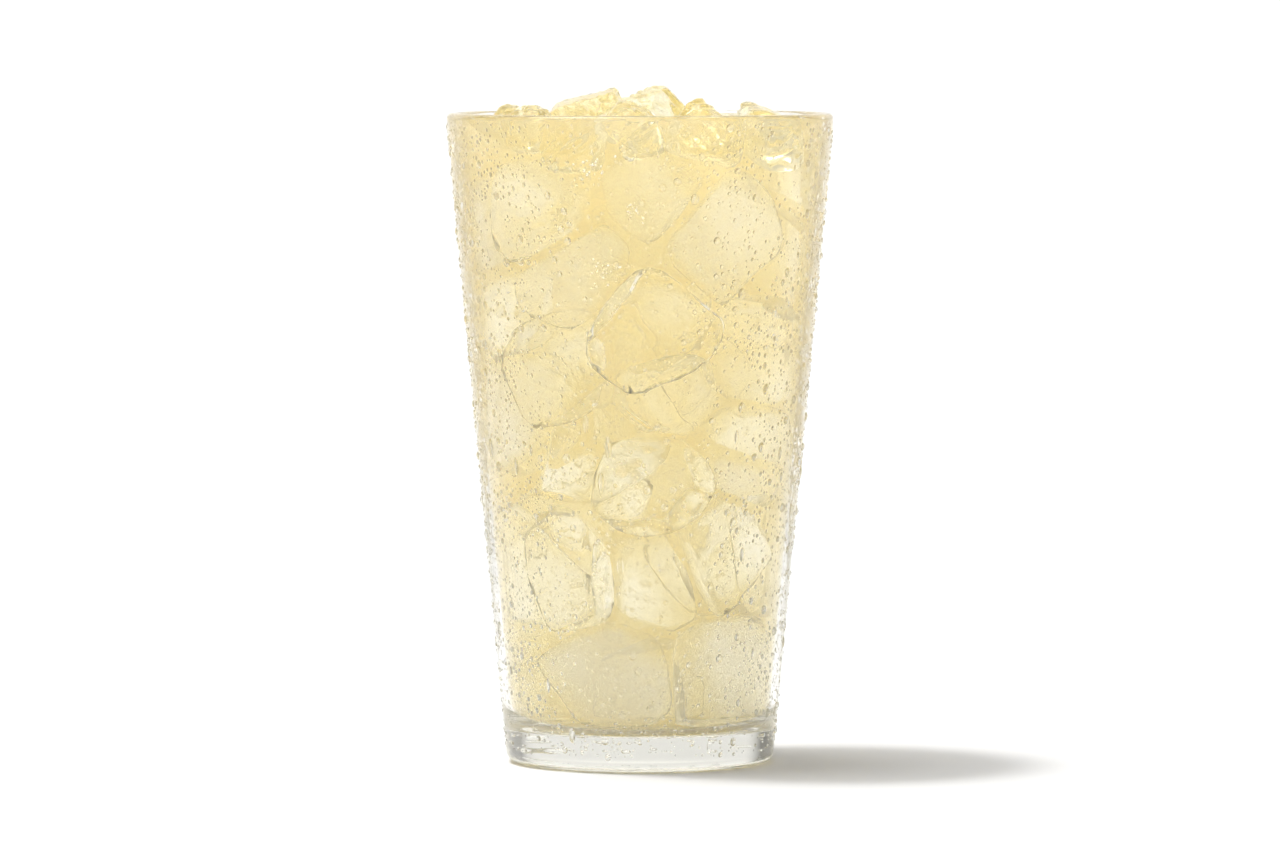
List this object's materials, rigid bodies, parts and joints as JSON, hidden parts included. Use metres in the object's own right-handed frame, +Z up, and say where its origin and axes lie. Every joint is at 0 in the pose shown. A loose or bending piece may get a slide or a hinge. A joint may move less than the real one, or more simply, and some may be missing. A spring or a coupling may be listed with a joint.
{
  "type": "glass of lemonade",
  "caption": "Clear straight-sided tapered pint glass with a thick foot, filled to the lip with pale cloudy lemonade and pieces of ice that break the surface.",
  "frame": {"origin": "centre of the foot, on the surface the glass stands on", "axes": "+Z up along the axis of the glass, +Y away from the side seen in the picture, +X to the right of that side"},
  "size_m": [0.0888, 0.0888, 0.1553],
  "materials": {
    "clear_glass": "clear, polished, misted with condensation outside",
    "lemonade": "pale yellow, cloudy, wet",
    "ice": "clear, wet, melted edges"
  },
  "bodies": {
    "root": {"tumbler": "clear_glass", "lemonade": "lemonade", "ice_long_slab": "ice", "ice_tall_block": "ice", "ice_front_wedge": "ice", "ice_peak": "ice", "ice_right_slab": "ice", "ice_left_dome": "ice", "ice_left_inner_dome": "ice", "ice_front_left": "ice", "ice_front_right": "ice", "ice_right_front": "ice", "ice_back_left": "ice", "ice_back_middle": "ice", "ice_back_right": "ice", "ice_front_chip": "ice", "ice_right_chip": "ice"}
  },
  "joints": []
}
